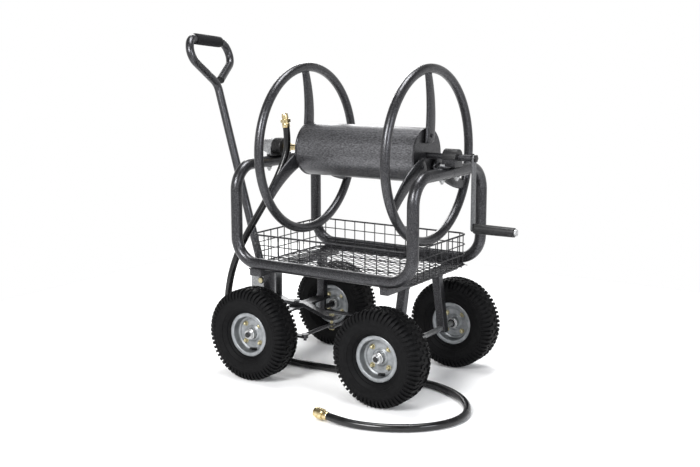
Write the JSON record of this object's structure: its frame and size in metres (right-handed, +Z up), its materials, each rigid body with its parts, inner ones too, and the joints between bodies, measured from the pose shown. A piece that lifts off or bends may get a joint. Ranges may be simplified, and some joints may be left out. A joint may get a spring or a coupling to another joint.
{
  "type": "garden hose reel cart",
  "caption": "Four-wheeled steered cart with a hand-cranked hose reel in a bent tube frame, a wire basket below, a folding pull handle and a loose supply hose.",
  "frame": {"origin": "on the floor, under the middle of the cart's length and width, the loose hose left out", "axes": "+X along the cart from the pull handle to the crank, +Y across it, +Z up"},
  "size_m": [1.0609, 0.6543, 0.9659],
  "materials": {
    "hammered_paint": "hammered charcoal powder coat",
    "zinc_steel": "zinc plated steel",
    "cast_zinc": "satin cast metal",
    "coated_wire": "satin powder-coated wire",
    "black_plastic": "moulded black plastic",
    "black_foam": "closed-cell foam sleeve",
    "hose_rubber": "smooth black hose rubber",
    "brass": "machined brass",
    "tyre_rubber": "black tyre rubber",
    "rim_paint": "silver-grey enamel",
    "yellow_zinc": "yellow passivated zinc"
  },
  "bodies": {
    "root": {"frame_near": "hammered_paint", "frame_far": "hammered_paint", "frame_sleeves": "zinc_steel", "front_crossmember": "hammered_paint", "rear_crossmember": "hammered_paint", "basket_ledges": "hammered_paint", "basket_floor": "coated_wire", "basket_walls": "coated_wire", "front_legs": "hammered_paint", "rear_legs": "hammered_paint", "rear_axle": "zinc_steel", "front_beam": "hammered_paint", "steering_pins": "zinc_steel", "swivel_bracket": "cast_zinc", "swivel_bearing": "black_plastic", "swivel_body": "cast_zinc", "rear_bearing": "hammered_paint", "rear_bearing_cap": "black_plastic", "bearing_bolts": "zinc_steel", "hose": "hose_rubber", "hose_coupling_upper": "brass", "hose_coupling_lower": "brass"},
    "reel": {"ring_front": "hammered_paint", "ring_rear": "hammered_paint", "spokes_front": "hammered_paint", "spokes_rear": "hammered_paint", "spoke_bolts": "hammered_paint", "drum_shell": "hammered_paint", "drum_ends": "hammered_paint", "reel_shaft": "hammered_paint", "water_pipe": "brass", "crank_arm": "zinc_steel", "crank_spindle": "zinc_steel"},
    "crank_grip": {"crank_grip": "black_plastic"},
    "handle": {"handle_tube": "hammered_paint", "handle_grip": "black_foam", "handle_plug": "black_plastic"},
    "tongue": {"tongue": "hammered_paint", "yoke": "cast_zinc", "tongue_bolts": "yellow_zinc"},
    "knuckle_near": {"knuckle_near": "hammered_paint"},
    "knuckle_far": {"knuckle_far": "hammered_paint"},
    "tie_rod_near": {"tie_rod_near": "hammered_paint"},
    "tie_rod_far": {"tie_rod_far": "hammered_paint"},
    "wheel_front_near": {"tyre_front_near": "tyre_rubber", "rim_front_near": "rim_paint", "hub_front_near": "zinc_steel", "rim_bolts_front_near": "yellow_zinc"},
    "wheel_front_far": {"tyre_front_far": "tyre_rubber", "rim_front_far": "rim_paint", "hub_front_far": "zinc_steel", "rim_bolts_front_far": "yellow_zinc"},
    "wheel_rear_near": {"tyre_rear_near": "tyre_rubber", "rim_rear_near": "rim_paint", "hub_rear_near": "zinc_steel", "rim_bolts_rear_near": "yellow_zinc"},
    "wheel_rear_far": {"tyre_rear_far": "tyre_rubber", "rim_rear_far": "rim_paint", "hub_rear_far": "zinc_steel", "rim_bolts_rear_far": "yellow_zinc"}
  },
  "joints": [
    {"name": "steer", "type": "hinge", "parent": "root", "child": "tongue", "pos_m": [-0.17, 0, 0.1725], "axis": [0, 0, 1], "range_deg": [-22, 22]},
    {"name": "knuckle_near_turn", "type": "hinge", "parent": "root", "child": "knuckle_near", "pos_m": [-0.17, -0.134, 0.1375], "axis": [0, 0, 1], "range_deg": [-22, 22]},
    {"name": "knuckle_far_turn", "type": "hinge", "parent": "root", "child": "knuckle_far", "pos_m": [-0.17, 0.134, 0.1375], "axis": [0, 0, 1], "range_deg": [-22, 22]},
    {"name": "tie_rod_near_turn", "type": "hinge", "parent": "tongue", "child": "tie_rod_near", "pos_m": [-0.045, 0, 0.126], "axis": [0, 0, 1], "range_deg": [-22, 22]},
    {"name": "tie_rod_far_turn", "type": "hinge", "parent": "tongue", "child": "tie_rod_far", "pos_m": [-0.045, 0, 0.1165], "axis": [0, 0, 1], "range_deg": [-22, 22]},
    {"name": "handle_fold", "type": "hinge", "parent": "tongue", "child": "handle", "pos_m": [-0.291, 0, 0.23], "axis": [0, -1, 0], "range_deg": [-8, 85]},
    {"name": "reel_spin", "type": "hinge", "parent": "root", "child": "reel", "pos_m": [0.078, 0, 0.638], "axis": [1, 0, 0], "continuous": true},
    {"name": "crank_grip_spin", "type": "hinge", "parent": "reel", "child": "crank_grip", "pos_m": [0.469, 0, 0.453], "axis": [1, 0, 0], "continuous": true},
    {"name": "wheel_front_near_spin", "type": "hinge", "parent": "knuckle_near", "child": "wheel_front_near", "pos_m": [-0.17, -0.208, 0.13], "axis": [0, 1, 0], "continuous": true},
    {"name": "wheel_front_far_spin", "type": "hinge", "parent": "knuckle_far", "child": "wheel_front_far", "pos_m": [-0.17, 0.208, 0.13], "axis": [0, 1, 0], "continuous": true},
    {"name": "wheel_rear_near_spin", "type": "hinge", "parent": "root", "child": "wheel_rear_near", "pos_m": [0.251, -0.208, 0.13], "axis": [0, 1, 0], "continuous": true},
    {"name": "wheel_rear_far_spin", "type": "hinge", "parent": "root", "child": "wheel_rear_far", "pos_m": [0.251, 0.208, 0.13], "axis": [0, 1, 0], "continuous": true}
  ],
  "couplings": [
    {"joint": "knuckle_near_turn", "follows": "steer", "ratio": 1},
    {"joint": "knuckle_far_turn", "follows": "steer", "ratio": 1},
    {"joint": "tie_rod_near_turn", "follows": "steer", "ratio": -1},
    {"joint": "tie_rod_far_turn", "follows": "steer", "ratio": -1}
  ]
}
